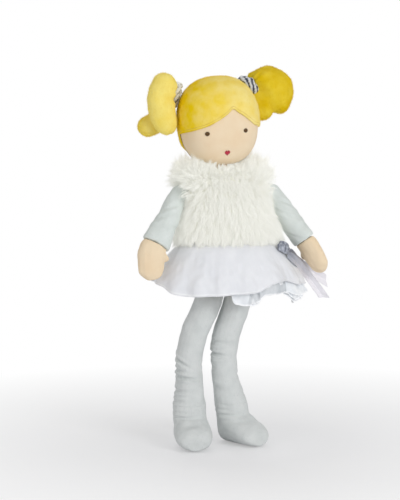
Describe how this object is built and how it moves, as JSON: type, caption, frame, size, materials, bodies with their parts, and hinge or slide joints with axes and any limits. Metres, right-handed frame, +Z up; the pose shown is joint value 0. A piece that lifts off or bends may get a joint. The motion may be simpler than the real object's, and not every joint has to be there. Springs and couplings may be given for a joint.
{
  "type": "stuffed rag doll",
  "caption": "Soft cloth doll with bunched velour hair, fur vest, gathered organza skirt and satin sash; head, arms and legs turn at their seams.",
  "frame": {"origin": "bottom centre of the whole doll's bounding box, level with the flat soles it stands on", "axes": "+Z up the body, the doll's face and toes point along -Y, its own right hand is on the -X side"},
  "size_m": [0.1704, 0.0922, 0.3072],
  "materials": {
    "skin_cloth": "fine skin-coloured jersey",
    "hair_velour": "golden yellow velour with a soft nap",
    "fur_pile": "long off-white fur pile",
    "sleeve_velour": "pale grey velour",
    "leg_velour": "pale grey velour",
    "skirt_lining": "plain white woven lining",
    "organza": "white organza, a little translucent",
    "satin": "pale blue-grey satin ribbon",
    "silver_strip": "gathered strip with metallic silver thread",
    "eye_thread": "brown embroidery thread",
    "mouth_thread": "crimson embroidery thread"
  },
  "bodies": {
    "torso": {"torso": "skin_cloth", "fur_vest": "fur_pile", "waistband": "skirt_lining", "skirt_lining": "skirt_lining", "organza_overskirt": "organza", "organza_ruffle": "organza", "sash_knot": "satin", "sash_tail_front": "satin", "sash_tail_back": "satin"},
    "neck": {"neck": "skin_cloth"},
    "head": {"head": "skin_cloth", "hair_front": "hair_velour", "hair_back": "hair_velour", "eye_right": "eye_thread", "eye_left": "eye_thread", "mouth": "mouth_thread"},
    "pigtail_right": {"pigtail_right": "hair_velour", "hair_tie_right": "silver_strip"},
    "pigtail_left": {"pigtail_left": "hair_velour", "hair_tie_left": "silver_strip"},
    "arm_right": {"sleeve_right": "sleeve_velour", "hand_right": "skin_cloth"},
    "arm_left": {"sleeve_left": "sleeve_velour", "hand_left": "skin_cloth"},
    "leg_right": {"leg_right": "leg_velour", "foot_right": "leg_velour"},
    "leg_left": {"leg_left": "leg_velour", "foot_left": "leg_velour"}
  },
  "joints": [
    {"name": "neck_nod", "type": "hinge", "parent": "torso", "child": "neck", "pos_m": [-0.01162, 0, 0.2229], "axis": [1, 0, 0], "range_deg": [-15, 20]},
    {"name": "head_turn", "type": "hinge", "parent": "neck", "child": "head", "pos_m": [-0.01162, 0, 0.2229], "axis": [0, 0, 1], "range_deg": [-35, 35]},
    {"name": "pigtail_right_lift", "type": "hinge", "parent": "head", "child": "pigtail_right", "pos_m": [-0.04323, 0.01521, 0.28305], "axis": [0, 1, 0], "range_deg": [0, 20]},
    {"name": "pigtail_left_lift", "type": "hinge", "parent": "head", "child": "pigtail_left", "pos_m": [0.01661, 0.00981, 0.28938], "axis": [0, -1, 0], "range_deg": [0, 20]},
    {"name": "shoulder_right", "type": "hinge", "parent": "torso", "child": "arm_right", "pos_m": [-0.03519, 0, 0.20605], "axis": [-1, 0, 0], "range_deg": [-30, 95], "deforming": ["skirt_lining", "organza_overskirt", "organza_ruffle"]},
    {"name": "shoulder_left", "type": "hinge", "parent": "torso", "child": "arm_left", "pos_m": [0.02394, 0, 0.20605], "axis": [-1, 0, 0], "range_deg": [-30, 95], "deforming": ["skirt_lining", "organza_overskirt", "organza_ruffle", "sash_tail_front", "sash_tail_back"]},
    {"name": "hip_right", "type": "hinge", "parent": "torso", "child": "leg_right", "pos_m": [-0.01678, 0, 0.13], "axis": [-1, 0, 0], "range_deg": [-40, 90], "deforming": ["skirt_lining", "organza_overskirt", "organza_ruffle"]},
    {"name": "hip_left", "type": "hinge", "parent": "torso", "child": "leg_left", "pos_m": [0.00852, 0, 0.13], "axis": [-1, 0, 0], "range_deg": [-40, 90], "deforming": ["skirt_lining", "organza_overskirt", "organza_ruffle", "sash_tail_front", "sash_tail_back"]}
  ]
}
